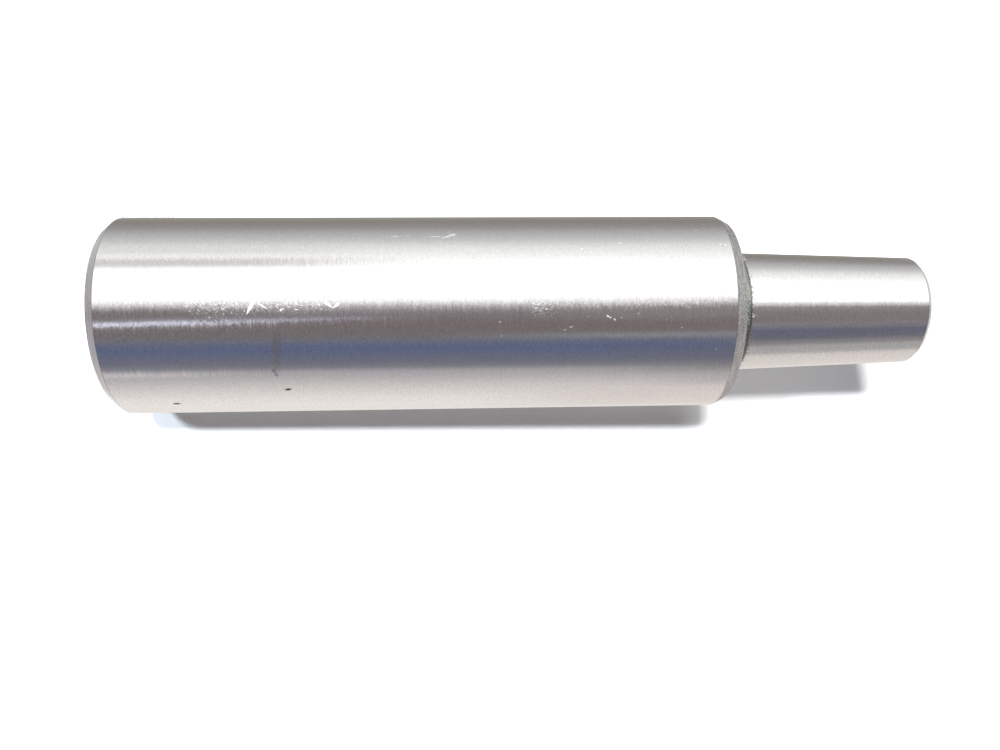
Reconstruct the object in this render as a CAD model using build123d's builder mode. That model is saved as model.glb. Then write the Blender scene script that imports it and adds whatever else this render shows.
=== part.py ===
from build123d import *
import math
import os

# A straight shank drill chuck arbor, turned and ground from one steel bar. It stands on the flat end of
# its shank: the origin is the centre of that end face, and +Z runs up the axis towards the chuck taper.
# Lengths are millimetres, and IN is one inch.

# Shank: the parallel cylinder that a collet or a bored holder grips
shank_diameter = 1.000 * IN
shank_length = 3.125 * IN  # from the end face to the shoulder, with both chamfers
shank_end_chamfer_length = 1.2
shank_end_chamfer_angle = 40.0  # to the axis

# Shoulder: the step that faces the chuck
shoulder_chamfer_length = 1.4
shoulder_chamfer_angle = 27.0  # to the axis

# Neck: left as turned between the shoulder and the ground taper, so the grinding wheel can run out
neck_length = 2.1
neck_relief = 0.2  # how far the neck lies below the ground surface
neck_corner_radius = 0.4

# Chuck taper: number 33 short taper, gauged from its large end, which lies inside the neck
taper_large_diameter = 0.6240 * IN
taper_small_diameter = 0.5605 * IN
taper_length = 1.0000 * IN
taper_setback = 1.0  # from the shoulder to the large end
nose_chamfer_length = 0.6
nose_chamfer_angle = 40.0  # to the axis

# The ground edges are broken by hand with a stone
edge_break_radius = 0.15

# Centre holes for turning and grinding between lathe centres
centre_angle = 60.0  # included angle of the cone
drill_point_angle = 118.0
shank_centre_mouth_diameter = 8.0
shank_centre_pilot_diameter = 3.15
shank_centre_depth = 9.5  # to the end of the pilot's full diameter
nose_centre_mouth_diameter = 6.7
nose_centre_pilot_diameter = 2.5
nose_centre_depth = 7.5

# Heights along the axis
shank_chamfer_top = shank_end_chamfer_length
shoulder_height = shank_length
shoulder_chamfer_base = shoulder_height - shoulder_chamfer_length
neck_top = shoulder_height + neck_length
taper_base = shoulder_height + taper_setback
nose_height = taper_base + taper_length
nose_chamfer_base = nose_height - nose_chamfer_length


def chamfer_drop(length, angle):
    """How far a chamfer of this length along the axis falls towards the axis."""
    return length * math.tan(math.radians(angle))


def taper_radius(height):
    """Radius of the chuck taper's cone at a height."""
    slope = (taper_large_diameter - taper_small_diameter) / 2 / taper_length
    return taper_large_diameter / 2 - slope * (height - taper_base)


# Radii
shank_radius = shank_diameter / 2
shank_end_radius = shank_radius - chamfer_drop(shank_end_chamfer_length, shank_end_chamfer_angle)
shoulder_radius = shank_radius - chamfer_drop(shoulder_chamfer_length, shoulder_chamfer_angle)
neck_radius = taper_radius(neck_top) - neck_relief
nose_chamfer_radius = taper_radius(nose_chamfer_base)
nose_radius = nose_chamfer_radius - chamfer_drop(nose_chamfer_length, nose_chamfer_angle)

# Each centre hole: its end face, the way into the metal, and its sizes
centres = (
    (0.0, 1, shank_centre_mouth_diameter / 2, shank_centre_pilot_diameter / 2, shank_centre_depth),
    (nose_height, -1, nose_centre_mouth_diameter / 2, nose_centre_pilot_diameter / 2, nose_centre_depth),
)

with BuildPart() as arbor:
    # Half of the turned section, from the axis at the shank's end round to the axis at the nose
    with BuildSketch(Plane.XZ):
        with BuildLine():
            Polyline(
                (0, 0),
                (shank_end_radius, 0),
                (shank_radius, shank_chamfer_top),
                (shank_radius, shoulder_chamfer_base),
                (shoulder_radius, shoulder_height),
                (neck_radius, shoulder_height),
                (neck_radius, neck_top - neck_relief),
                (neck_radius + neck_relief, neck_top),
                (nose_chamfer_radius, nose_chamfer_base),
                (nose_radius, nose_height),
                (0, nose_height),
                close=True,
            )
        make_face()
    revolve(axis=Axis.Z)

    # The turned circles, by their place on the section
    circles = arbor.edges().filter_by(GeomType.CIRCLE)
    shoulder_circles = circles.filter_by_position(Axis.Z, shoulder_height, shoulder_height)
    neck_corner = shoulder_circles.sort_by(SortBy.RADIUS)[0]
    fillet(neck_corner, radius=neck_corner_radius)

    # The two edges of the shank's end chamfer and of the nose chamfer, and the shank's edge at the shoulder
    circles = arbor.edges().filter_by(GeomType.CIRCLE)
    stoned_edges = ShapeList(
        circles.filter_by_position(Axis.Z, height, height).sort_by(SortBy.RADIUS)[-1]
        for height in (0, shank_chamfer_top, shoulder_chamfer_base, shoulder_height, nose_chamfer_base, nose_height)
    )
    fillet(stoned_edges, radius=edge_break_radius)

    # Centre holes: a cone down to the pilot, and the pilot's own drill point
    for face_height, inward, mouth_radius, pilot_radius, depth in centres:
        cone_depth = (mouth_radius - pilot_radius) / math.tan(math.radians(centre_angle / 2))
        point_depth = pilot_radius / math.tan(math.radians(drill_point_angle / 2))
        with BuildSketch(Plane.XZ):
            with BuildLine():
                Polyline(
                    (0, face_height),
                    (mouth_radius, face_height),
                    (pilot_radius, face_height + inward * cone_depth),
                    (pilot_radius, face_height + inward * depth),
                    (0, face_height + inward * (depth + point_depth)),
                    close=True,
                )
            make_face()
        revolve(axis=Axis.Z, mode=Mode.SUBTRACT)

arbor.part.label = "arbor"

os.makedirs("parts", exist_ok=True)
export_step(arbor.part, "parts/arbor.step")
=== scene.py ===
import logging
import math
from collections.abc import Sequence
from dataclasses import dataclass, field
from enum import Enum
from typing import Any, Union

import bpy
import numpy as np
from mathutils import Matrix, Vector


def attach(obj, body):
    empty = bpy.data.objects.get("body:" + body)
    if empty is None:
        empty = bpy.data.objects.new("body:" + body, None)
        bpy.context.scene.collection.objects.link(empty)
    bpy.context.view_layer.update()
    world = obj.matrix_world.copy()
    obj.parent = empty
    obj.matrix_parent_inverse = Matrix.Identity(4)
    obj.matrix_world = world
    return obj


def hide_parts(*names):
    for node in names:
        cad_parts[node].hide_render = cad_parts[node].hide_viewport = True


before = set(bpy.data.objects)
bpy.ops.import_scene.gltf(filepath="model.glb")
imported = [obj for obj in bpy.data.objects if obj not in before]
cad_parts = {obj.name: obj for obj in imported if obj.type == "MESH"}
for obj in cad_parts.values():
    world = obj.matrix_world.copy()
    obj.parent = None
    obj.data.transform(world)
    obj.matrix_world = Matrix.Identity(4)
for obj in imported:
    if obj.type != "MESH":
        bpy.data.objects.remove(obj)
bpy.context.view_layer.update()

PICTURE_WIDTH = 1000
PICTURE_HEIGHT = 750
MM = 0.001
INCH = 25.4

logging.basicConfig(level=logging.INFO, format="%(message)s")
log = logging.getLogger("arbor")

Colour = tuple[float, float, float]
Socket = bpy.types.NodeSocket
Number = Union["Value", Socket, float]
Tint = Union[Socket, Colour]
WHITE: Colour = (1.0, 1.0, 1.0)
ON_AXIS = 1e-6


class Value:
    """A number flowing through a node tree, with a float's arithmetic."""

    def __init__(self, graph: "Graph", socket: Socket) -> None:
        """Wraps an output socket.

        Args:
            graph: the tree that new nodes are added to.
            socket: the output that carries the number.
        """
        self.graph = graph
        self.socket = socket

    def __add__(self, other: Number) -> "Value":
        """Sum."""
        return self.graph.math("ADD", self, other)

    __radd__ = __add__

    def __sub__(self, other: Number) -> "Value":
        """Difference."""
        return self.graph.math("SUBTRACT", self, other)

    def __rsub__(self, other: Number) -> "Value":
        """Difference, with the wrapped number taken away."""
        return self.graph.math("SUBTRACT", other, self)

    def __mul__(self, other: Number) -> "Value":
        """Product."""
        return self.graph.math("MULTIPLY", self, other)

    __rmul__ = __mul__

    def __truediv__(self, other: Number) -> "Value":
        """Quotient."""
        return self.graph.math("DIVIDE", self, other)

    def __neg__(self) -> "Value":
        """Opposite number."""
        return self.graph.math("MULTIPLY", self, -1.0)

    def __abs__(self) -> "Value":
        """Size without the sign."""
        return self.graph.math("ABSOLUTE", self)

    def larger(self, other: Number) -> "Value":
        """The larger of two numbers."""
        return self.graph.math("MAXIMUM", self, other)

    def smaller(self, other: Number) -> "Value":
        """The smaller of two numbers."""
        return self.graph.math("MINIMUM", self, other)

    def ramp(self, start: Number, end: Number, low: Number = 0.0, high: Number = 1.0) -> "Value":
        """Smooth step from one number to another.

        Args:
            start: where the step starts.
            end: where it ends, below start for a falling step.
            low: result at the start.
            high: result at the end.

        Returns:
            The stepped number.
        """
        made = self.graph.node(
            "ShaderNodeMapRange",
            {"interpolation_type": "SMOOTHSTEP", "clamp": True},
            {"Value": self, "From Min": start, "From Max": end, "To Min": low, "To Max": high},
        )
        return Value(self.graph, made.outputs["Result"])


class Graph:
    """A node tree that is written as expressions."""

    def __init__(self, tree: bpy.types.NodeTree) -> None:
        """Empties the tree and keeps it.

        Args:
            tree: the material's, world's or modifier's tree.
        """
        self.tree = tree
        tree.nodes.clear()

    def node(
        self,
        kind: str,
        settings: dict[str, Any] | None = None,
        inputs: dict[str | int, Any] | None = None,
    ) -> bpy.types.Node:
        """Adds one node.

        Args:
            kind: the node's type.
            settings: its properties, and for a ramp the key "stops" with (place, colour) pairs.
            inputs: values or links by socket name or number.

        Returns:
            The new node.
        """
        made = self.tree.nodes.new(kind)
        for name, value in (settings or {}).items():
            if name == "stops":
                self._set_stops(made.color_ramp, value)
            else:
                setattr(made, name, value)
        for name, value in (inputs or {}).items():
            self.feed(made.inputs[name], value)
        return made

    def _set_stops(self, ramp: bpy.types.ColorRamp, stops: list[tuple[float, Colour]]) -> None:
        """Gives a colour ramp its stops.

        Args:
            ramp: the ramp.
            stops: places from 0 to 1, each with its colour.
        """
        while len(ramp.elements) < len(stops):
            ramp.elements.new(1.0)
        for element, (place, colour) in zip(ramp.elements, stops):
            element.position = place
            element.color = (*colour, 1.0)

    def feed(self, socket: Socket, value: Any) -> None:
        """Links or sets one input.

        Args:
            socket: the input.
            value: a Value, a socket, a number or a tuple.
        """
        if isinstance(value, Value):
            self.tree.links.new(value.socket, socket)
        elif isinstance(value, Socket):
            self.tree.links.new(value, socket)
        else:
            socket.default_value = value

    def math(self, operation: str, *numbers: Number) -> Value:
        """One Math node.

        Args:
            operation: the node's operation.
            numbers: one, two or three numbers.

        Returns:
            Its result.
        """
        made = self.node("ShaderNodeMath", {"operation": operation}, dict(enumerate(numbers)))
        return Value(self, made.outputs[0])

    def vector(self, operation: str, *parts: Tint, scale: Number | None = None) -> Socket:
        """One Vector Math node.

        Args:
            operation: the node's operation.
            parts: its vectors.
            scale: its number, where the operation takes one.

        Returns:
            The vector that comes out.
        """
        inputs: dict[str | int, Any] = dict(enumerate(parts))
        if scale is not None:
            inputs["Scale"] = scale
        return self.node("ShaderNodeVectorMath", {"operation": operation}, inputs).outputs[0]

    def split(self, vector: Socket) -> tuple[Value, Value, Value]:
        """The three numbers of a vector."""
        made = self.node("ShaderNodeSeparateXYZ", inputs={0: vector})
        return tuple(Value(self, out) for out in made.outputs)

    def join(self, x: Number, y: Number, z: Number) -> Socket:
        """A vector from three numbers."""
        return self.node("ShaderNodeCombineXYZ", inputs={0: x, 1: y, 2: z}).outputs[0]

    def stretched(
        self, vector: Socket, scale: Colour, shift: Colour = (0.0, 0.0, 0.0)
    ) -> Socket:
        """A vector through a Mapping node.

        Args:
            vector: the coordinates.
            scale: how much finer each direction gets.
            shift: what is added after that.

        Returns:
            The mapped coordinates.
        """
        made = self.node("ShaderNodeMapping", inputs={"Vector": vector, "Scale": scale, "Location": shift})
        return made.outputs[0]

    def noise(self, vector: Socket, detail: float = 2.0, rough: float = 0.5) -> Value:
        """Soft noise from 0 to 1, about one blob to each unit.

        Args:
            vector: the coordinates.
            detail: how many finer layers are added.
            rough: how strong the finer layers are.

        Returns:
            The noise.
        """
        made = self.node(
            "ShaderNodeTexNoise",
            {"noise_dimensions": "3D"},
            {"Vector": vector, "Scale": 1.0, "Detail": detail, "Roughness": rough},
        )
        return Value(self, made.outputs[0])

    def mix(self, share: Number, first: Tint, second: Tint, blend: str = "MIX") -> Socket:
        """Two colours mixed.

        Args:
            share: how much of the second.
            first: the first colour.
            second: the second colour.
            blend: how they mix.

        Returns:
            The colour.
        """
        made = self.node(
            "ShaderNodeMix",
            {"data_type": "RGBA", "blend_type": blend, "clamp_factor": True},
            {0: share, 6: self._opaque(first), 7: self._opaque(second)},
        )
        return made.outputs[2]

    def _opaque(self, colour: Tint) -> Socket | tuple[float, ...]:
        """A colour with its fourth number, or the link as it is."""
        return (*colour, 1.0) if isinstance(colour, tuple) else colour


@dataclass(frozen=True)
class RoomStrip:
    """One upright strip of the room that the steel mirrors.

    bearing is counted round the arbor from the camera, towards the picture's top, in degrees, and
    moves by skew for each degree of rise. rise is the direction's height above level, along the
    arbor's axis: the strip is whole from rise_full on and gone at rise_none.
    """

    bearing: float
    half_width: float
    soft: float
    colour: Colour
    rise_full: float
    rise_none: float
    skew: float = 0.0
    share: float = 1.0


@dataclass(frozen=True)
class Room:
    """The studio round the arbor: white to the eye, with the room's bands in the steel."""

    stops: tuple[tuple[float, Colour], ...] = (
        (-180, (0.72, 0.69, 0.67)),
        (-165, (0.95, 0.91, 0.87)),
        (-148, (1.08, 1.02, 0.96)),
        (-132, (1.20, 1.14, 1.07)),
        (-115, (1.20, 1.12, 1.06)),
        (-100, (1.05, 0.98, 0.93)),
        (-88, (0.88, 0.83, 0.80)),
        (-78, (0.70, 0.665, 0.665)),
        (-71, (0.61, 0.58, 0.59)),
        (-67.5, (0.57, 0.55, 0.57)),
        (-64.5, (0.31, 0.31, 0.34)),
        (-57, (0.235, 0.24, 0.30)),
        (-48, (0.20, 0.22, 0.31)),
        (-40, (0.16, 0.195, 0.33)),
        (-33.5, (0.18, 0.21, 0.32)),
        (-29, (0.245, 0.25, 0.30)),
        (-25, (0.26, 0.235, 0.235)),
        (-12, (0.265, 0.215, 0.21)),
        (0, (0.275, 0.25, 0.26)),
        (5, (0.38, 0.335, 0.34)),
        (11, (0.78, 0.71, 0.71)),
        (16, (1.62, 1.60, 1.58)),
        (20, (1.85, 1.85, 1.85)),
        (56, (1.85, 1.85, 1.85)),
        (66, (1.60, 1.59, 1.54)),
        (74, (1.42, 1.41, 1.33)),
        (84, (1.22, 1.21, 1.16)),
        (95, (0.86, 0.86, 0.83)),
        (108, (0.66, 0.64, 0.64)),
        (122, (0.43, 0.41, 0.39)),
        (138, (0.35, 0.32, 0.29)),
        (160, (0.40, 0.37, 0.33)),
    )
    strips: tuple[RoomStrip, ...] = (
        RoomStrip(-1.9, 1.35, 1.1, (1.80, 1.82, 2.10), -18.0, -10.0, skew=0.33),
        RoomStrip(-1.6, 0.4, 0.8, (1.30, 1.32, 1.55), -11.0, -2.0, skew=0.33),
        RoomStrip(-26.0, 1.5, 2.5, (0.42, 0.41, 0.43), 12.0, -2.0),
        RoomStrip(81.0, 4.5, 4.0, (1.12, 1.12, 1.10), -14.0, -2.0, share=0.9),
        RoomStrip(63.0, 4.3, 3.5, (0.90, 0.87, 0.84), -14.0, -1.0, share=0.95),
        RoomStrip(73.0, 1.2, 2.0, (1.42, 1.42, 1.30), -14.0, -3.0),
        RoomStrip(10.5, 4.0, 2.5, (0.84, 0.80, 0.78), 11.0, 0.0, share=0.7),
        RoomStrip(0.5, 6.5, 4.0, (0.34, 0.30, 0.295), 12.0, 2.0),
        RoomStrip(3.0, 4.0, 3.0, (0.26, 0.23, 0.225), -17.0, -8.0),
        RoomStrip(13.5, 3.0, 2.0, (0.50, 0.46, 0.455), 27.0, 15.0),
        RoomStrip(5.0, 5.0, 3.0, (0.37, 0.335, 0.32), 27.0, 15.0),
        RoomStrip(-12.0, 10.0, 6.0, (0.32, 0.285, 0.275), 27.0, 15.0),
        RoomStrip(-31.0, 4.5, 2.5, (0.30, 0.28, 0.31), 27.0, 15.0),
        RoomStrip(-50.0, 12.0, 6.0, (0.20, 0.20, 0.245), 27.0, 10.0, share=0.75),
        RoomStrip(-68.0, 6.0, 5.0, (0.34, 0.32, 0.33), 23.0, 6.0),
        RoomStrip(-85.0, 10.0, 9.0, (0.57, 0.55, 0.54), 25.0, 8.0),
        RoomStrip(-128.0, 26.0, 16.0, (0.95, 0.87, 0.81), 12.0, -1.0, share=0.7),
        RoomStrip(14.0, 2.5, 2.0, (1.80, 1.78, 1.75), 2.0, -4.0, share=0.35),
        RoomStrip(-71.0, 2.6, 1.8, (0.92, 0.87, 0.90), -20.0, -13.0, share=0.85),
        RoomStrip(-174.0, 11.0, 4.0, (2.00, 2.00, 2.00), -21.5, -19.3),
        RoomStrip(-105.0, 45.0, 20.0, (1.90, 1.78, 1.72), 52.0, 34.0, share=0.8),
        RoomStrip(-150.0, 34.0, 8.0, (1.70, 1.70, 1.70), -34.0, -26.0),
        RoomStrip(-145.0, 40.0, 10.0, (1.00, 0.97, 0.94), -40.0, -31.0),
        RoomStrip(158.0, 22.0, 12.0, (1.10, 1.08, 1.05), -34.0, -28.0),
        RoomStrip(-180.0, 5.0, 3.0, (0.26, 0.29, 0.26), -30.0, -24.0),
        RoomStrip(180.0, 16.0, 8.0, (0.26, 0.29, 0.26), -30.0, -24.0),
        RoomStrip(60.0, 105.0, 12.0, (0.80, 0.76, 0.81), -64.0, -44.0),
        RoomStrip(-117.0, 54.0, 8.0, (0.80, 0.76, 0.81), -64.0, -48.0),
        RoomStrip(156.0, 16.0, 8.0, (1.35, 1.33, 1.27), 40.0, 28.0, share=0.9),
        RoomStrip(142.0, 24.0, 8.0, (1.45, 1.43, 1.40), 66.0, 57.0),
    )
    bounce: Colour = (0.10, 0.096, 0.115)
    ramp_top: float = 2.0
    skew_limit: float = 30.0
    soft_inside: float = 0.3

    def build(self) -> None:
        """Makes the world."""
        world = bpy.data.worlds.new("studio")
        world.use_nodes = True
        world.cycles.sampling_method = "NONE"
        g = Graph(world.node_tree)
        direction = g.node("ShaderNodeTexCoord").outputs["Generated"]
        x, y, z = g.split(direction)
        bearing = g.math("ARCTAN2", -x, -y) * math.degrees(1.0)
        rise = g.math("ARCSINE", z) * math.degrees(1.0)
        seen = self._mirrored(g, bearing, rise)
        path = g.node("ShaderNodeLightPath").outputs
        colour = g.mix(path["Is Glossy Ray"], self.bounce, seen)
        colour = g.mix(path["Is Camera Ray"], colour, WHITE)
        colour = g.mix(path["Is Transmission Ray"], colour, WHITE)
        shine = g.node("ShaderNodeBackground", inputs={"Color": colour, "Strength": 1.0})
        g.node("ShaderNodeOutputWorld", inputs={"Surface": shine.outputs[0]})
        bpy.context.scene.world = world

    def _mirrored(self, g: Graph, bearing: Value, rise: Value) -> Socket:
        """What a polished surface sees in a direction.

        Args:
            g: the world's tree.
            bearing: the direction's angle round the arbor.
            rise: its height above level.

        Returns:
            The room's colour there.
        """
        stops = [
            ((place + 180) / 360, tuple(part / self.ramp_top for part in colour))
            for place, colour in self.stops
        ]
        place = (bearing + 180) / 360
        ramp = g.node("ShaderNodeValToRGB", {"stops": stops}, {"Fac": place})
        colour = g.mix(1.0, ramp.outputs["Color"], (self.ramp_top,) * 3, "MULTIPLY")
        for strip in self.strips:
            middle = strip.bearing + rise.larger(-self.skew_limit).smaller(self.skew_limit) * strip.skew
            away = abs(bearing - middle)
            inside = strip.half_width - strip.soft * self.soft_inside
            mask = away.ramp(strip.half_width + strip.soft, inside)
            mask = mask * rise.ramp(strip.rise_none, strip.rise_full) * strip.share
            colour = g.mix(mask, colour, strip.colour)
        return colour


@dataclass(frozen=True)
class SheetLamp:
    """A lamp whose light falls on one stage sheet alone, past the arbor, so the arbor stays plainly lit."""

    name: str
    toward: Colour
    strength: float
    spread_deg: float
    colour: Colour = WHITE

    def build(self, lit: bpy.types.Object, shading: bpy.types.Object) -> None:
        """Makes the lamp.

        Args:
            lit: the sheet that it lights.
            shading: what throws a shadow in its light.
        """
        data = bpy.data.lights.new(self.name, "SUN")
        data.energy = self.strength
        data.color = self.colour
        data.angle = math.radians(self.spread_deg)
        data.specular_factor = 0.0
        lamp = bpy.data.objects.new(self.name, data)
        bpy.context.scene.collection.objects.link(lamp)
        lamp.rotation_mode = "QUATERNION"
        lamp.rotation_quaternion = Vector(self.toward).to_track_quat("Z", "Y")
        receivers = bpy.data.collections.new(f"{self.name}_lit")
        receivers.objects.link(lit)
        blockers = bpy.data.collections.new(f"{self.name}_shading")
        blockers.objects.link(shading)
        lamp.light_linking.receiver_collection = receivers
        lamp.light_linking.blocker_collection = blockers


def aimed(turn_deg: float, rise_deg: float) -> Colour:
    """Direction to a lamp on the camera's side, by its turn to the left and its rise above level."""
    return (-math.tan(math.radians(turn_deg)), -1.0, math.tan(math.radians(rise_deg)))


@dataclass(frozen=True)
class PaperFinish:
    """White card, seen from its face only, so that it never hides the arbor from behind."""

    name: str
    colour: Colour = (0.9, 0.9, 0.9)
    roughness: float = 0.9

    def material(self) -> bpy.types.Material:
        """Makes the material.

        Returns:
            The new material.
        """
        made = bpy.data.materials.new(self.name)
        made.use_nodes = True
        g = Graph(made.node_tree)
        inputs = {
            "Base Color": (*self.colour, 1.0),
            "Roughness": self.roughness,
            "Specular IOR Level": 0.0,
        }
        paper = g.node("ShaderNodeBsdfPrincipled", inputs=inputs)
        clear = g.node("ShaderNodeBsdfTransparent")
        back = g.node("ShaderNodeNewGeometry").outputs["Backfacing"]
        both = g.node("ShaderNodeMixShader", inputs={0: back, 1: paper.outputs[0], 2: clear.outputs[0]})
        g.node("ShaderNodeOutputMaterial", inputs={"Surface": both.outputs[0]})
        return made


@dataclass(frozen=True)
class Stage:
    """The pale floor that the arbor stands on, and the card close behind it that takes its shadow.

    radius is the shank's, and all lengths are in metres.
    """

    radius: float
    floor_half: float = 0.9
    card_half_width: float = 0.13
    card_height: float = 0.21
    card_turn_deg: float = 29.9
    card_lean_deg: float = 2.8
    floor_lamps: tuple[SheetLamp, ...] = (
        SheetLamp("floor_lamp_left", (-0.5, -0.6, 0.75), 4.9, 20.0),
        SheetLamp("floor_lamp_right", (0.5, -0.6, 0.75), 4.9, 20.0),
    )
    card_lamps: tuple[SheetLamp, ...] = (
        SheetLamp("card_lamp_low", aimed(22.5, -34.7), 3.0, 8.0, (0.78, 0.89, 1.0)),
        SheetLamp("card_lamp_middle", aimed(22.5, -19.0), 0.35, 16.0, (0.8, 0.9, 1.0)),
        SheetLamp("card_lamp_high", aimed(22.5, -5.5), 3.3, 8.0),
        SheetLamp("card_lamp_back", (-1.0, 0.09, 0.12), 1.6, 20.0),
    )

    def build(self, arbor: bpy.types.Object) -> None:
        """Makes the floor, the card and their lamps.

        Args:
            arbor: the piece that throws the shadows.
        """
        around = ((-1, -1), (1, -1), (1, 1), (-1, 1))
        floor = self._sheet("floor", [(x * self.floor_half, y * self.floor_half, 0.0) for x, y in around])
        card = self._sheet("card", self._card_corners())
        for sheet in (floor, card):
            sheet.visible_glossy = False
            sheet.visible_diffuse = False
        for sheet, lamps in ((floor, self.floor_lamps), (card, self.card_lamps)):
            for lamp in lamps:
                lamp.build(sheet, arbor)
            log.info("%s: lit alone by %d lamps", sheet.name, len(lamps))

    def _card_corners(self) -> list[Vector]:
        """Places the card, which touches the shank at its end and leans back from it.

        Returns:
            Its corners, anticlockwise seen from its face.
        """
        turn, lean = math.radians(self.card_turn_deg), math.radians(self.card_lean_deg)
        face = Vector((-math.sin(turn) * math.cos(lean), -math.cos(turn) * math.cos(lean), math.sin(lean)))
        side = Vector((math.cos(turn), -math.sin(turn), 0.0))
        up = side.cross(face)
        up = up if up.z > 0 else -up
        foot = -face * (self.radius / face.to_2d().length * math.cos(lean))
        wide, tall = side * self.card_half_width, up * self.card_height
        corners = [foot - wide, foot + wide, foot + wide + tall, foot - wide + tall]
        flat = (corners[1] - corners[0]).cross(corners[2] - corners[1])
        return corners if flat.dot(face) > 0 else corners[::-1]

    def _sheet(self, name: str, corners: Sequence[Sequence[float]]) -> bpy.types.Object:
        """Makes one flat sheet.

        Args:
            name: the sheet's name.
            corners: its four corners, anticlockwise seen from its face.

        Returns:
            The sheet's object.
        """
        mesh = bpy.data.meshes.new(name)
        mesh.from_pydata([tuple(c) for c in corners], [], [(0, 1, 2, 3)])
        mesh.materials.append(PaperFinish(f"{name}_paper").material())
        made = bpy.data.objects.new(name, mesh)
        bpy.context.scene.collection.objects.link(made)
        return made


@dataclass(frozen=True)
class PhotoCamera:
    """The camera of the picture, rolled so that the standing arbor lies across the frame.

    Its place is in shank radii from the shoulder: along the axis and towards the camera.
    """

    shoulder: float
    radius: float
    along: float = -2.85925
    away: float = 9.05761
    pitch: float = 0.11079
    yaw: float = 0.05591
    roll: float = 0.01483
    focal_px: float = 850.33
    centre_row: float = 408.08
    sensor_mm: float = 36.0
    nearest: float = 0.01
    farthest: float = 20.0

    def build(self) -> None:
        """Makes the camera and sets the scene's colour view."""
        data = bpy.data.cameras.new("camera")
        data.sensor_width = self.sensor_mm
        data.sensor_fit = "HORIZONTAL"
        data.lens = self.focal_px / PICTURE_WIDTH * self.sensor_mm
        data.shift_y = (self.centre_row - PICTURE_HEIGHT / 2) / PICTURE_WIDTH
        data.clip_start, data.clip_end = self.nearest, self.farthest
        data.dof.use_dof = False
        camera = bpy.data.objects.new("camera", data)
        bpy.context.scene.collection.objects.link(camera)
        turned = Matrix.Rotation(self.roll, 3, "Z")
        turned = turned @ Matrix.Rotation(self.yaw, 3, "Y") @ Matrix.Rotation(self.pitch, 3, "X")
        lying_to_standing = Matrix(((0, -1, 0), (0, 0, -1), (1, 0, 0)))
        camera.matrix_world = Matrix.Translation(
            (0.0, -self.away * self.radius, self.shoulder + self.along * self.radius)
        ) @ (lying_to_standing @ turned.transposed()).to_4x4()
        bpy.context.scene.camera = camera
        bpy.context.scene.view_settings.view_transform = "Standard"


class Zone(Enum):
    """The differently machined bands of the turned piece, in the order of its material slots."""

    GROUND_SHANK = 0
    GROUND_TAPER = 1
    TURNED = 2
    STONED_EDGE = 3
    TORN_NECK = 4
    CENTRE_HOLE = 5
    SHOULDER_CHAMFER = 6
    TORN_RUN_OUT = 7


@dataclass(frozen=True)
class Mark:
    """One mark, by its bearing round the arbor (degrees), its height (mm) and its half sizes (mm)."""

    bearing: float
    height: float
    half_length: float
    half_width: float
    turn_deg: float = 0.0
    strength: float = 1.0


@dataclass(frozen=True)
class Scuff:
    """A patch rubbed in handling: short scratches that lie one way. Its place and sizes are as a mark's.

    strength is the sine of the tilt that the scratches give the surface, towards higher bearings.
    """

    bearing: float
    height: float
    half_length: float
    half_width: float
    lay_deg: float
    strength: float


@dataclass
class SteelSurface:
    """Where a point of the arbor is, for the finishes' patterns, in millimetres."""

    graph: Graph
    place: Socket = field(init=False)
    bearing: Value = field(init=False)
    height: Value = field(init=False)
    outward: Socket = field(init=False)

    def __post_init__(self) -> None:
        """Reads the object's coordinates."""
        g = self.graph
        raw = g.node("ShaderNodeTexCoord").outputs["Object"]
        self.place = g.vector("SCALE", raw, scale=1 / MM)
        x, y, z = g.split(self.place)
        self.bearing = g.math("ARCTAN2", -x, -y) * math.degrees(1.0)
        self.height = z
        self.outward = g.node("ShaderNodeNewGeometry").outputs["Normal"]

    def streaks(self, around: float, along: float, detail: float = 2.0, shift: float = 0.0) -> Value:
        """Noise drawn out round the axis, as a grinding wheel leaves it.

        Args:
            around: blobs to a millimetre round the axis.
            along: blobs to a millimetre along it.
            detail: finer layers.
            shift: moves the pattern, so that two of them differ.

        Returns:
            Noise from 0 to 1.
        """
        where = self.graph.stretched(self.place, (around, around, along), (shift, shift * 0.7, shift * 1.3))
        return self.graph.noise(where, detail)

    def scratches(self, lay_deg: float, radius: float, along: float, across: float, shift: float) -> Value:
        """Noise drawn out in one direction on the surface, on its front only.

        Args:
            lay_deg: the direction, from the axis.
            radius: the surface's radius, in mm.
            along: blobs to a millimetre in that direction.
            across: blobs to a millimetre across it.
            shift: moves the pattern.

        Returns:
            Noise from 0 to 1.
        """
        c, s = math.cos(math.radians(lay_deg)), math.sin(math.radians(lay_deg))
        around = self.bearing * math.radians(radius)
        lengthwise, crosswise = self.height * c + around * s, around * c - self.height * s
        where = self.graph.join(lengthwise * along + shift, crosswise * across, shift)
        return self.graph.noise(where, 1.5)

    def low_side_shade(self) -> Value:
        """How strongly painted shade darkens torn metal: all on the side that lies low in the photograph."""
        return self.bearing.ramp(14.0, 0.0) * self.bearing.ramp(-110.0, -85.0)

    def tilted(self, around: Number, along: Number = 0.0) -> Socket:
        """The normal turned a little round the axis and along it.

        Args:
            around: sine of the turn round the axis.
            along: sine of the turn along it.

        Returns:
            The new normal.
        """
        g = self.graph
        sideways = g.vector("NORMALIZE", g.vector("CROSS_PRODUCT", self.outward, (0.0, 0.0, 1.0)))
        moved = g.vector("ADD", self.outward, g.vector("SCALE", sideways, scale=around))
        moved = g.vector("ADD", moved, g.join(0.0, 0.0, along))
        return g.vector("NORMALIZE", moved)


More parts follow.
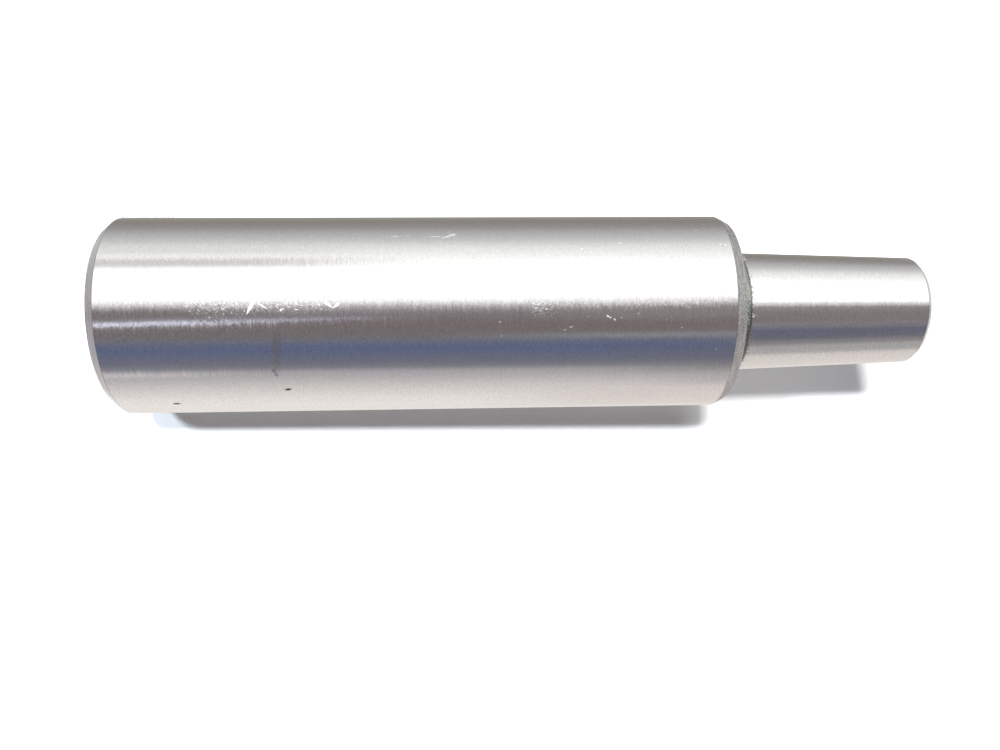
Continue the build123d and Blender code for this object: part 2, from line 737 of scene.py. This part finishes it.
@dataclass
class MarkMasks:
    """Masks of the marks on one surface, each from a node group that draws one mark's outline."""

    surface: SteelSurface
    radius: float
    ragged: Value
    narrowing: float = 0.42
    thinnest: float = 0.05
    whole_within: float = 0.3
    gone_at: float = 1.1
    scratch_edge: float = 0.9
    speck_edge: float = 2.4
    group: bpy.types.NodeTree = field(init=False)

    def __post_init__(self) -> None:
        """Makes the group, whose inputs place, turn and size the mark."""
        self.group = bpy.data.node_groups.new("mark", "ShaderNodeTree")
        names = (
            ("Bearing", "Height", "Ragged", "At Bearing", "At Height", "Per Degree")
            + ("Cosine", "Sine", "Half Length", "Half Width", "Narrows", "Rough Edge", "Strength")
        )
        for name in names:
            self.group.interface.new_socket(name, in_out="INPUT", socket_type="NodeSocketFloat")
        self.group.interface.new_socket("Mask", in_out="OUTPUT", socket_type="NodeSocketFloat")
        g = Graph(self.group)
        outputs = g.node("NodeGroupInput").outputs
        given = {name: Value(g, outputs[name]) for name in names}
        around = (given["Bearing"] - given["At Bearing"]) * given["Per Degree"]
        along = given["Height"] - given["At Height"]
        lengthwise = (along * given["Cosine"] + around * given["Sine"]) / given["Half Length"]
        across = (around * given["Cosine"] - along * given["Sine"]) / given["Half Width"]
        narrowed = given["Narrows"] * (lengthwise * self.narrowing - self.narrowing) + 1.0
        across = across / narrowed.larger(self.thinnest)
        away = lengthwise * lengthwise + across * across + (given["Ragged"] - 0.5) * given["Rough Edge"]
        mask = away.ramp(self.gone_at, self.whole_within) * given["Strength"]
        g.node("NodeGroupOutput", inputs={"Mask": mask})

    def mask(self, mark: Mark | Scuff, turn_deg: float = 0.0, narrows: bool = False) -> Value:
        """One mark's mask.

        Args:
            mark: the mark.
            turn_deg: how far its length is turned from the axis.
            narrows: whether it runs to a point at its lower end.

        Returns:
            Its strength inside the mark and 0 outside.
        """
        inputs = {
            "Bearing": self.surface.bearing,
            "Height": self.surface.height,
            "Ragged": self.ragged,
            "At Bearing": mark.bearing,
            "At Height": mark.height,
            "Per Degree": math.radians(self.radius),
            "Cosine": math.cos(math.radians(turn_deg)),
            "Sine": math.sin(math.radians(turn_deg)),
            "Half Length": mark.half_length,
            "Half Width": mark.half_width,
            "Narrows": 1.0 if narrows else 0.0,
            "Rough Edge": self.scratch_edge if narrows else self.speck_edge,
            "Strength": mark.strength,
        }
        graph = self.surface.graph
        return Value(graph, graph.node("ShaderNodeGroup", {"node_tree": self.group}, inputs).outputs[0])

    def together(self, marks: Sequence[Mark], narrows: bool = False) -> Value | float:
        """The masks of several marks added up.

        Args:
            marks: the marks.
            narrows: whether each runs to a point at its lower end.

        Returns:
            The sum, or 0 where there is no mark.
        """
        return sum((self.mask(mark, mark.turn_deg, narrows) for mark in marks), 0.0)


@dataclass
class Skin:
    """What a finish gives the metal: its colour, its roughness and how its normal is turned."""

    colour: Tint
    rough: Value
    around: Value
    along: Value


@dataclass(frozen=True)
class WearAndPaintedHighlights:
    """What handling left on the shank, as the photograph shows it, in degrees and mm, with painted
    highlights: the glints are painted highlights, and the scratches are real wear that a lighter colour also
    paints as highlights.
    """

    scratches: tuple[Mark, ...] = (
        Mark(4.0, 19.4, 1.15, 0.32, 61),
        Mark(5.1, 20.9, 0.70, 0.14, 148),
        Mark(5.6, 28.6, 0.65, 0.28, 145),
        Mark(5.2, 29.5, 0.55, 0.28, 40),
        Mark(48.6, 36.2, 0.75, 0.10, 0, 0.8),
        Mark(48.6, 37.8, 0.30, 0.08, 0, 0.7),
        Mark(48.3, 41.2, 0.95, 0.11, -3, 0.8),
        Mark(50.6, 43.3, 0.60, 0.15, 4),
        Mark(49.2, 43.2, 0.75, 0.17, 12),
        Mark(48.0, 42.6, 0.55, 0.15, 0),
        Mark(47.0, 42.2, 0.30, 0.12, 20, 0.7),
    )
    # Painted highlights: bright specks of reflected light, drawn as a lighter colour and a tilted normal.
    painted_glints: tuple[Mark, ...] = (
        Mark(2.9, 23.0, 0.12, 0.16),
        Mark(3.5, 23.25, 0.09, 0.13, 30, 0.6),
        Mark(3.1, 24.8, 0.19, 0.08, 0, 0.7),
        Mark(0.9, 16.3, 0.08, 0.10, 0, 0.6),
        Mark(-0.8, 14.7, 0.09, 0.09, 0, 0.8),
        Mark(-3.2, 17.6, 0.10, 0.08),
        Mark(-1.9, 62.0, 0.26, 0.13, -30, 1.0),
        Mark(-2.6, 62.3, 0.24, 0.12, 15, 0.9),
        Mark(-3.7, 62.8, 0.22, 0.10, -40, 0.9),
        Mark(-2.8, 63.6, 0.12, 0.09, 0, 0.7),
        Mark(-0.5, 65.7, 0.11, 0.08, 0, 0.5),
        Mark(-1.9, 59.6, 0.11, 0.08, 0, 0.5),
        Mark(-4.2, 69.2, 0.11, 0.08, 0, 0.7),
        Mark(-8.4, 71.1, 0.14, 0.07, 0, 1.1),
        Mark(-4.5, 48.9, 0.26, 0.12, 20, 0.7),
        Mark(-12.1, 49.1, 0.14, 0.07, 0, 1.5),
        Mark(-9.2, 56.8, 0.11, 0.08, 0, 1.5),
        Mark(-7.6, 57.5, 0.28, 0.07, 8, 1.0),
        Mark(38.1, 59.2, 0.14, 0.08, 0, 0.7),
        Mark(40.0, 58.5, 0.12, 0.08, 0, 0.7),
        Mark(35.4, 60.4, 0.16, 0.08, 0, 0.6),
        Mark(54.1, 74.1, 0.14, 0.12, 0, 1.1),
        Mark(41.2, 76.6, 0.11, 0.11, 0, 0.8),
        Mark(40.4, 77.2, 0.12, 0.11, 0, 0.8),
        Mark(42.3, 64.0, 0.20, 0.11, 0, 1.0),
        Mark(-21.0, 75.6, 0.13, 0.14, 0, 0.9),
        Mark(-28.6, 76.0, 0.10, 0.11, 0, 0.7),
    )
    rust_specks: tuple[Mark, ...] = (
        Mark(-59.2, 8.5, 0.55, 0.26),
        Mark(-45.8, 22.8, 0.45, 0.24, 10),
        Mark(-22.0, 21.9, 0.22, 0.30, 0, 0.35),
        Mark(-31.3, 21.6, 0.30, 0.42, 0, 0.5),
        Mark(-34.6, 21.75, 0.26, 0.30, 20, 0.45),
    )
    stains: tuple[Mark, ...] = (
        Mark(-20.0, 22.15, 3.4, 0.60, 84, 0.6),
        Mark(32.0, 45.8, 0.25, 0.16, 0, 0.4),
    )
    scuffs: tuple[Scuff, ...] = (
        Scuff(3.4, 15.6, 4.6, 1.9, -48, 0.084),
        Scuff(4.0, 23.5, 6.0, 1.4, -40, 0.058),
        Scuff(1.6, 54.1, 1.9, 1.2, 20, 0.09),
        Scuff(2.5, 67.0, 12.0, 2.0, 35, 0.029),
        Scuff(50.0, 43.3, 1.3, 0.9, 12, -0.09),
        Scuff(40.0, 43.6, 3.0, 1.3, 8, -0.05),
        Scuff(-8.0, 57.2, 1.6, 0.7, -15, 0.16),
    )
    # The colour of the painted highlights: glints and scratches are lightened to it as reflected light.
    bright_metal_and_painted_highlight: Colour = (0.85, 0.85, 0.85)
    rust: Colour = (0.12, 0.11, 0.10)
    stain: Colour = (0.42, 0.385, 0.35)
    front_tilt: float = 0.16
    top_tilt: float = -0.15
    top_bearing: float = 30.0
    crossed_share: float = 0.6
    scuff_rough: float = 0.15
    scratch_rough: float = 0.12
    rust_rough: float = 0.4
    stain_rough: float = 0.22

    def mark(self, g: Graph, surface: SteelSurface, skin: Skin, radius: float) -> None:
        """Marks a skin, and paints highlights on its scratches and glints as a lighter colour.

        Args:
            g: the material's tree.
            surface: where the point is.
            skin: the unmarked skin, which is changed.
            radius: the surface's radius, in mm.
        """
        ragged = surface.streaks(around=3.4, along=3.4, detail=3.0, shift=11.0)
        masks = MarkMasks(surface, radius, ragged)
        for number, scuff in enumerate(self.scuffs):
            mask = masks.mask(scuff)
            shift = 7.0 * number
            hatch = surface.scratches(scuff.lay_deg, radius, along=1.9, across=7.5, shift=shift)
            cross_lay = -0.7 * scuff.lay_deg
            crossed = surface.scratches(cross_lay, radius, along=2.2, across=6.5, shift=shift + 3.0)
            rubbed = hatch.ramp(0.50, 0.72) - crossed.ramp(0.54, 0.74) * self.crossed_share
            skin.around = skin.around + mask * rubbed
            skin.rough = skin.rough + mask * self.scuff_rough
        for tilt, on_top in ((self.front_tilt, False), (self.top_tilt, True)):
            scratches, painted_glints = (
                [mark for mark in marks if (mark.bearing >= self.top_bearing) is on_top]
                for marks in (self.scratches, self.painted_glints)
            )
            mask = masks.together(scratches, narrows=True) + masks.together(painted_glints)
            skin.around = skin.around + mask * tilt
            skin.rough = skin.rough + mask * self.scratch_rough
            # Painted highlight: the lighter colour stands in for light reflected by the scratches and
            # glints.
            skin.colour = g.mix(mask, skin.colour, self.bright_metal_and_painted_highlight)
        for marks, colour, roughened in (
            (self.rust_specks, self.rust, self.rust_rough),
            (self.stains, self.stain, self.stain_rough),
        ):
            mask = masks.together(marks)
            skin.colour = g.mix(mask, skin.colour, colour)
            skin.rough = skin.rough + mask * roughened


@dataclass(frozen=True)
class SteelFinish:
    """A machined steel surface. Subclasses say how the wheel or the tool left it."""

    name: str
    colour: Colour = (0.62, 0.62, 0.63)
    roughness: float = 0.15
    grain: float = 0.09
    smoothest: float = 0.06

    def material(self) -> bpy.types.Material:
        """Makes the material.

        Returns:
            The new material.
        """
        made = bpy.data.materials.new(self.name)
        made.use_nodes = True
        g = Graph(made.node_tree)
        surface = SteelSurface(g)
        skin = self.skin(g, surface)
        inputs = {
            "Metallic": 1.0,
            "Base Color": skin.colour,
            "Roughness": skin.rough.larger(self.smoothest),
            "Normal": surface.tilted(skin.around, skin.along),
        }
        metal = g.node("ShaderNodeBsdfPrincipled", inputs=inputs)
        g.node("ShaderNodeOutputMaterial", inputs={"Surface": metal.outputs[0]})
        return made

    def skin(self, g: Graph, surface: SteelSurface) -> Skin:
        """The surface's skin.

        Args:
            g: the material's tree.
            surface: where the point is.

        Returns:
            Its skin.
        """
        raise NotImplementedError

    def mottled(self, g: Graph, shade: Value) -> Socket:
        """The steel's colour, a little darker or lighter by the grain.

        Args:
            g: the material's tree.
            shade: 0 where it is darkest and 1 where it is lightest.

        Returns:
            The colour.
        """
        low, high = (tuple(part * (1 + way * self.grain) for part in self.colour) for way in (-1, 1))
        return g.mix(shade, low, high)


@dataclass(frozen=True)
class Tear:
    """The ragged end of a ground surface, where metal torn from the neck reaches up into it, in mm. Its low
    side is darkened as painted shade, and its burrs are lightened as painted sparkle highlights.
    """

    end_height: float
    burr_level: float = 0.47
    reach: float = 3.2
    edge: float = 0.12
    whole_below: float = 0.35
    none_above: float = 0.75
    torn_colour: Colour = (0.39, 0.405, 0.38)
    low_side_shade: Colour = (0.25, 0.27, 0.235)
    bright_metal_and_painted_highlight: Colour = (0.85, 0.85, 0.82)
    tilt: float = 1.4
    roughened: float = 0.4

    def mark(self, g: Graph, surface: SteelSurface, skin: Skin) -> None:
        """Tears a skin.

        Args:
            g: the material's tree.
            surface: where the point is.
            skin: the whole skin, which is changed.
        """
        above = surface.height - self.end_height
        burrs = surface.streaks(around=2.4, along=2.4, detail=3.0, shift=5.0)
        torn = (above - (burrs - self.burr_level) * self.reach).ramp(self.edge, -self.edge)
        torn = torn * above.ramp(self.none_above, self.whole_below)
        # Painted shade: the torn metal is darker on its low side. Painted highlight: the burrs are lightened
        # as sparkles.
        metal = g.mix(surface.low_side_shade(), self.torn_colour, self.low_side_shade)
        metal = g.mix(burrs.ramp(0.56, 0.64), metal, self.bright_metal_and_painted_highlight)
        skin.colour = g.mix(torn, skin.colour, metal)
        pulled = surface.streaks(around=4.0, along=4.0, shift=3.0) - 0.5
        skin.around = skin.around + torn * pulled * self.tilt
        skin.rough = skin.rough + torn * self.roughened


@dataclass(frozen=True)
class GroundFinish(SteelFinish):
    """Cylindrically ground: fine lines round the axis, worn by handling with painted highlights on its
    marks, and torn at a ragged end with painted shade.
    """

    radius: float = 12.7
    line_tilt: float = 0.026
    grit_share: float = 0.7
    ripple_tilt: float = 0.012
    along_tilt: float = 0.12
    rough_change: float = 0.10
    wear_and_highlights: WearAndPaintedHighlights | None = None
    tear: Tear | None = None

    def skin(self, g: Graph, surface: SteelSurface) -> Skin:
        """The ground skin.

        Args:
            g: the material's tree.
            surface: where the point is.

        Returns:
            Its skin.
        """
        lines = surface.streaks(around=0.45, along=3.2)
        fine = surface.streaks(around=2.0, along=6.5, shift=31.0)
        grit = surface.streaks(around=4.5, along=5.5, detail=1.0, shift=63.0)
        ripple = surface.streaks(around=0.25, along=0.5, shift=77.0)
        chatter = surface.streaks(around=0.5, along=5.0, shift=53.0)
        grit_tilt = self.line_tilt * self.grit_share
        around = (lines - 0.5) * self.line_tilt + (fine - 0.5) * self.line_tilt
        around = around + (grit - 0.5) * grit_tilt + (ripple - 0.5) * self.ripple_tilt
        along = (chatter - 0.5) * self.along_tilt
        shade = (fine * 0.5 + grit * 0.5).ramp(0.3, 0.7)
        rough = self.roughness + (lines - 0.5) * self.rough_change
        skin = Skin(self.mottled(g, shade), rough, around, along)
        if self.wear_and_highlights is not None:
            self.wear_and_highlights.mark(g, surface, skin, self.radius)
        if self.tear is not None:
            self.tear.mark(g, surface, skin)
        return skin


@dataclass(frozen=True)
class TurnedFinish(SteelFinish):
    """Turned with a tool: fine rings round the axis, crossed by the grit of the cut."""

    grain: float = 0.18
    smoothest: float = 0.08
    ring_tilt: float = 0.12
    grit_tilt: float = 0.12
    grit_size: float = 0.3
    rough_change: float = 0.2
    # Where given, the colour of painted shade on the low side.
    low_side_shade_colour: Colour | None = None

    def skin(self, g: Graph, surface: SteelSurface) -> Skin:
        """The turned skin.

        Args:
            g: the material's tree.
            surface: where the point is.

        Returns:
            Its skin.
        """
        per_mm = 1.0 / self.grit_size
        rings = surface.streaks(around=0.3, along=6.0, shift=19.0)
        grit = surface.streaks(around=per_mm, along=per_mm * 1.3, shift=41.0)
        pull = surface.streaks(around=per_mm, along=per_mm * 1.1, shift=87.0)
        shade = (rings * 0.5 + grit * 0.5).ramp(0.3, 0.7)
        along = (pull - 0.5) * self.grit_tilt + (rings - 0.5) * self.ring_tilt
        rough = self.roughness + (grit - 0.5) * self.rough_change
        colour = self.mottled(g, shade)
        # Painted shade: darker on the low side.
        if self.low_side_shade_colour is not None:
            colour = g.mix(surface.low_side_shade(), colour, self.low_side_shade_colour)
        return Skin(colour, rough, (grit - 0.5) * self.grit_tilt, along)


@dataclass(frozen=True)
class Chamfer:
    """A chamfer, by its length along the axis (mm) and its angle to the axis."""

    length: float
    angle_deg: float

    @property
    def drop(self) -> float:
        """How far it falls towards the axis."""
        return self.length * math.tan(math.radians(self.angle_deg))


@dataclass(frozen=True)
class CentreHole:
    """A centre hole for turning between centres: a cone, a drilled pilot and its point, in mm."""

    mouth: float
    pilot: float
    depth: float
    cone_half_angle: float = 30.0
    drill_half_angle: float = 59.0

    @property
    def cone_depth(self) -> float:
        """How deep the cone meets the pilot."""
        return (self.mouth - self.pilot) / math.tan(math.radians(self.cone_half_angle))

    @property
    def point_depth(self) -> float:
        """How deep the drill's point is."""
        return self.depth + self.pilot / math.tan(math.radians(self.drill_half_angle))


@dataclass(frozen=True)
class Corner:
    """A corner of the turned section: its place and its rounding, in mm, and the band that starts there."""

    radius: float
    height: float
    broken: float
    zone: Zone
    rings: int = 1


@dataclass
class BrokenEdge:
    """A corner of the section rounded off. Without a radius it stays sharp."""

    corner: np.ndarray
    before: np.ndarray
    after: np.ndarray
    radius: float
    fine_radius: float = 0.1
    steps: int = 8
    fine_steps: int = 3
    turn: float = field(init=False)
    start: np.ndarray = field(init=False)
    end: np.ndarray = field(init=False)

    def __post_init__(self) -> None:
        """Finds where the rounding starts and ends."""
        self.turn = math.acos(max(-1.0, min(1.0, float(self.before @ self.after))))
        reach = self.radius * math.tan(self.turn / 2)
        self.start, self.end = self.corner - self.before * reach, self.corner + self.after * reach

    def arc(self) -> list[tuple[np.ndarray, np.ndarray]]:
        """The rounding's points but the last, each with its outward normal.

        Returns:
            Pairs of point and normal, none for a sharp corner.
        """
        if self.radius == 0:
            return []
        side = 1.0 if self.before[0] * self.after[1] - self.before[1] * self.after[0] > 0 else -1.0
        outward = np.array((self.before[1], -self.before[0])) * side
        middle = self.start - outward * self.radius
        count = self.steps if self.radius > self.fine_radius else self.fine_steps
        pairs = []
        for k in range(count):
            angle = side * self.turn * k / count
            c, s = math.cos(angle), math.sin(angle)
            spoke = np.array((outward[0] * c - outward[1] * s, outward[0] * s + outward[1] * c))
            pairs.append((middle + spoke * self.radius, spoke * side))
        return pairs


@dataclass
class Section:
    """A half section: its points (radius, height), their normals, and the band that starts at each."""

    points: list[np.ndarray] = field(default_factory=list)
    normals: list[np.ndarray] = field(default_factory=list)
    zones: list[Zone] = field(default_factory=list)

    def add(self, point: np.ndarray, normal: np.ndarray, zone: Zone) -> None:
        """Adds the next point.

        Args:
            point: its radius and height.
            normal: which way the surface faces there.
            zone: the band that starts there.
        """
        self.points.append(point)
        self.normals.append(normal)
        self.zones.append(zone)

    def turned(self, name: str, slices: int) -> tuple[bpy.types.Mesh, list[tuple[float, float, float]]]:
        """Turns the section round the axis.

        Args:
            name: the mesh's name.
            slices: how many faces go round.

        Returns:
            The mesh, whose faces have their zone as an attribute, and the normal of each of its points.
        """
        vertices, outward, first = [], [], []
        for (radius, height), (sideways, upward) in zip(self.points, self.normals):
            first.append(len(vertices))
            if radius < ON_AXIS:
                vertices.append((0.0, 0.0, height * MM))
                outward.append((0.0, 0.0, math.copysign(1.0, upward)))
                continue
            for j in range(slices):
                angle = 2 * math.pi * j / slices
                c, s = math.cos(angle), math.sin(angle)
                vertices.append((radius * c * MM, radius * s * MM, height * MM))
                outward.append((sideways * c, sideways * s, upward))
        faces, face_zones = [], []
        for i in range(len(self.points) - 1):
            a, b = first[i], first[i + 1]
            for j in range(slices):
                k = (j + 1) % slices
                if self.points[i][0] < ON_AXIS:
                    faces.append((a, b + k, b + j))
                elif self.points[i + 1][0] < ON_AXIS:
                    faces.append((a + j, a + k, b))
                else:
                    faces.append((a + j, a + k, b + k, b + j))
                face_zones.append(self.zones[i].value)
        mesh = bpy.data.meshes.new(name)
        mesh.from_pydata(vertices, [], faces)
        mesh.polygons.foreach_set("use_smooth", [True] * len(faces))
        mesh.attributes.new("zone", "INT", "FACE").data.foreach_set("value", face_zones)
        return mesh, outward


@dataclass(frozen=True)
class TornMetal:
    """Metal torn by a blunt tool where nothing was ground: small pits and burrs, as a node tree on the mesh.

    The tree reads how torn each point is from the attribute "torn", and the band of each face from "zone".
    """

    depth: float = 0.05 * MM
    burr: float = 0.02 * MM
    level: float = 0.58
    grain: float = 3.6 / MM
    seed: int = 7

    def tree(self, materials: list[bpy.types.Material]) -> bpy.types.NodeTree:
        """Makes the tree.

        Args:
            materials: the material of each zone, in the zones' order.

        Returns:
            The tree, with the inputs Depth, Grain and Seed.
        """
        tree = bpy.data.node_groups.new("torn_metal", "GeometryNodeTree")
        face = tree.interface
        face.new_socket("Geometry", in_out="INPUT", socket_type="NodeSocketGeometry")
        for name, kind in (("Depth", "Float"), ("Grain", "Float"), ("Seed", "Int")):
            face.new_socket(name, in_out="INPUT", socket_type=f"NodeSocket{kind}")
        face.new_socket("Geometry", in_out="OUTPUT", socket_type="NodeSocketGeometry")
        g = Graph(tree)
        given = g.node("NodeGroupInput").outputs
        place = g.node("GeometryNodeInputPosition").outputs[0]
        outward = g.node("GeometryNodeInputNormal").outputs["Normal"]
        torn, zone = (
            g.node("GeometryNodeInputNamedAttribute", {"data_type": kind}, {"Name": name}).outputs[0]
            for kind, name in (("FLOAT", "torn"), ("INT", "zone"))
        )
        where = g.vector("SCALE", place, scale=given["Grain"])
        pits = g.node(
            "ShaderNodeTexNoise",
            {"noise_dimensions": "4D"},
            {"Vector": where, "W": given["Seed"], "Scale": 1.0, "Detail": 2.0, "Roughness": 0.6},
        ).outputs[0]
        push = ((Value(g, pits) - self.level) * given["Depth"] * torn).smaller(self.burr)
        offset = g.vector("SCALE", outward, scale=push)
        moved = g.node("GeometryNodeSetPosition", inputs={"Geometry": given["Geometry"], "Offset": offset})
        shape = g.node("GeometryNodeRealizeInstances", inputs={"Geometry": moved.outputs[0]}).outputs[0]
        for number, material in enumerate(materials):
            here = g.node(
                "FunctionNodeCompare", {"data_type": "INT", "operation": "EQUAL"}, {"A": zone, "B": number}
            ).outputs[0]
            dressed = {"Geometry": shape, "Selection": here, "Material": material}
            shape = g.node("GeometryNodeSetMaterial", inputs=dressed).outputs[0]
        g.node("NodeGroupOutput", inputs={"Geometry": shape})
        return tree

    def apply(self, piece: bpy.types.Object, materials: list[bpy.types.Material]) -> None:
        """Runs the tree on a piece and leaves it a plain mesh.

        Args:
            piece: the object, whose mesh has the attributes "torn" and "zone".
            materials: the material of each zone.
        """
        tree = self.tree(materials)
        modifier = piece.modifiers.new("torn_metal", "NODES")
        modifier.node_group = tree
        sizes = {"Depth": self.depth, "Grain": self.grain, "Seed": self.seed}
        for item in tree.interface.items_tree:
            if item.in_out == "INPUT" and item.name in sizes:
                modifier[item.identifier] = sizes[item.name]
        ready = piece.evaluated_get(bpy.context.evaluated_depsgraph_get())
        mesh = bpy.data.meshes.new_from_object(ready)
        piece.modifiers.clear()
        piece.data = mesh
        mesh.name = piece.name


@dataclass
class Arbor:
    """The turned and ground arbor, standing on its shank's end. Sizes are in mm."""

    shank_radius: float = 0.5 * INCH
    shank_length: float = 3.125 * INCH
    shank_end_chamfer: Chamfer = Chamfer(1.2, 40.0)
    shoulder_chamfer: Chamfer = Chamfer(1.4, 27.0)
    neck_length: float = 2.1
    neck_relief: float = 0.2
    neck_corner: float = 0.4
    taper_large_radius: float = 0.3120 * INCH
    taper_small_radius: float = 0.28025 * INCH
    taper_length: float = 1.0 * INCH
    taper_setback: float = 1.0
    nose_chamfer: Chamfer = Chamfer(0.6, 40.0)
    edge_break: float = 0.15
    run_out_break: float = 0.05
    mouth_break: float = 0.08
    pilot_break: float = 0.04
    shank_centre: CentreHole = CentreHole(4.0, 1.575, 9.5)
    nose_centre: CentreHole = CentreHole(3.35, 1.25, 7.5)
    torn_on_shoulder: float = 1.5
    torn_fade_up: float = 0.15
    torn_fade_out: float = 0.5
    slices: int = 320

    def taper_radius(self, height: float) -> float:
        """Radius of the chuck taper at a height."""
        slope = (self.taper_large_radius - self.taper_small_radius) / self.taper_length
        return self.taper_large_radius - slope * (height - self.shank_length - self.taper_setback)

    def corners(self) -> list[Corner]:
        """The half section, from the axis at the shank's end round to the axis at the nose.

        Returns:
            Its corners, in order.
        """
        shoulder, nose = self.shank_length, self.shank_length + self.taper_setback + self.taper_length
        end_chamfer, chamfer = self.shank_end_chamfer, self.shoulder_chamfer
        nose_chamfer = self.nose_chamfer
        neck_top = shoulder + self.neck_length
        neck = self.taper_radius(neck_top) - self.neck_relief
        nose_base = self.taper_radius(nose - nose_chamfer.length)
        lower, upper = self.shank_centre, self.nose_centre
        hole, turned = Zone.CENTRE_HOLE, Zone.TURNED
        edge, run_out, mouth, fine = self.edge_break, self.run_out_break, self.mouth_break, self.pilot_break
        return [
            Corner(0.0, lower.point_depth, 0.0, hole),
            Corner(lower.pilot, lower.depth, fine, hole, rings=2),
            Corner(lower.pilot, lower.cone_depth, fine, hole, rings=3),
            Corner(lower.mouth, 0.0, mouth, turned, rings=8),
            Corner(self.shank_radius - end_chamfer.drop, 0.0, edge, turned, rings=4),
            Corner(self.shank_radius, end_chamfer.length, edge, Zone.GROUND_SHANK, rings=48),
            Corner(self.shank_radius, shoulder - chamfer.length, edge, Zone.SHOULDER_CHAMFER, rings=6),
            Corner(self.shank_radius - chamfer.drop, shoulder, edge, turned, rings=8),
            Corner(neck, shoulder, self.neck_corner, Zone.TORN_NECK, rings=15),
            Corner(neck, neck_top - self.neck_relief, run_out, Zone.TORN_RUN_OUT, rings=3),
            Corner(neck + self.neck_relief, neck_top, run_out, Zone.GROUND_TAPER, rings=28),
            Corner(nose_base, nose - nose_chamfer.length, edge, turned, rings=3),
            Corner(nose_base - nose_chamfer.drop, nose, edge, turned, rings=6),
            Corner(upper.mouth, nose, mouth, hole, rings=3),
            Corner(upper.pilot, nose - upper.cone_depth, fine, hole, rings=2),
            Corner(upper.pilot, nose - upper.depth, fine, hole),
            Corner(0.0, nose - upper.point_depth, 0.0, hole),
        ]

    def section(self) -> Section:
        """Breaks the edges of the half section.

        Returns:
            The section, ready to be turned.
        """
        corners = self.corners()
        at = [np.array((corner.radius, corner.height)) for corner in corners]
        steps = [(b - a) / np.linalg.norm(b - a) for a, b in zip(at, at[1:])]
        edges = [BrokenEdge(at[0], steps[0], steps[0], 0.0)]
        for corner, middle, before, after in zip(corners[1:], at[1:], steps, steps[1:]):
            edges.append(BrokenEdge(middle, before, after, corner.broken))
        edges.append(BrokenEdge(at[-1], steps[-1], steps[-1], 0.0))
        section = Section()
        for i, corner in enumerate(corners[:-1]):
            edge_zone = Zone.STONED_EDGE if corner.broken == self.edge_break else corner.zone
            for point, normal in edges[i].arc():
                section.add(point, normal, edge_zone)
            flat = np.array((steps[i][1], -steps[i][0]))
            first, last = edges[i].end, edges[i + 1].start
            for k in range(corner.rings):
                section.add(first + (last - first) * k / corner.rings, flat, corner.zone)
        section.add(at[-1], np.array((steps[-1][1], -steps[-1][0])), corners[-1].zone)
        return section

    def build(self) -> bpy.types.Object:
        """Turns the section round the axis, and gives each band its finish.

        Returns:
            The arbor's object.
        """
        mesh, outward = self.section().turned("arbor_turned", self.slices)
        torn = [self._torn(*vertex.co) for vertex in mesh.vertices]
        mesh.attributes.new("torn", "FLOAT", "POINT").data.foreach_set("value", torn)
        made = bpy.data.objects.new("arbor_turned", mesh)
        bpy.context.scene.collection.objects.link(made)
        mesh.normals_split_custom_set_from_vertices(outward)
        TornMetal().apply(made, [finish.material() for finish in self.finishes()])
        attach(made, "root")
        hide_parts("arbor")
        log.info("%s: %d faces", made.name, len(made.data.polygons))
        return made

    def _torn(self, x: float, y: float, z: float) -> float:
        """How torn a point is: fully in the neck and its corner, and not at all on anything ground.

        Args:
            x: its place, in metres.
            y: its place, in metres.
            z: its height, in metres.

        Returns:
            A number from 0 to 1.
        """
        clear = 0.01
        low, high = self.shank_length - clear, self.shank_length + self.neck_length - 3 * clear
        widest = self.taper_large_radius + self.torn_on_shoulder
        radius, height = math.hypot(x, y) / MM, z / MM
        if not (low < height < high and radius < widest):
            return 0.0
        return min(1.0, (high - height) / self.torn_fade_up, (widest - radius) / self.torn_fade_out)

    def finishes(self) -> list[SteelFinish]:
        """Chooses the finish of each zone.

        Returns:
            The finishes, in the zones' order.
        """
        ground_end = self.shank_length + self.neck_length
        return [
            GroundFinish("ground_shank", radius=self.shank_radius, wear_and_highlights=WearAndPaintedHighlights()),
            GroundFinish("ground_taper", line_tilt=0.017, tear=Tear(ground_end)),
            TurnedFinish("turned_steel", (0.46, 0.45, 0.46), 0.32),
            TurnedFinish("stoned_edge", (0.28, 0.31, 0.27), 0.3),
            # The neck's dark colour is partly torn metal and partly painted shade in the recess.
            TurnedFinish("torn_and_shaded_neck", (0.345, 0.365, 0.33), 0.58, grit_tilt=1.3, grit_size=0.25, grain=0.6),
            TurnedFinish("centre_hole", (0.45, 0.44, 0.43), 0.3),
            TurnedFinish("turned_shoulder", (0.375, 0.37, 0.375), 0.6, grit_tilt=0.45, grain=0.34),
            # Its low side is darkened as painted shade.
            TurnedFinish("torn_run_out", (0.53, 0.54, 0.52), 0.35, grain=0.4, low_side_shade_colour=(0.25, 0.27, 0.235)),
        ]


def main() -> None:
    """Builds the camera, the room, the arbor and the stage."""
    arbor = Arbor()
    shoulder, radius = arbor.shank_length * MM, arbor.shank_radius * MM
    PhotoCamera(shoulder, radius).build()
    Room().build()
    piece = arbor.build()
    Stage(radius).build(piece)


if __name__ == "__main__":
    main()
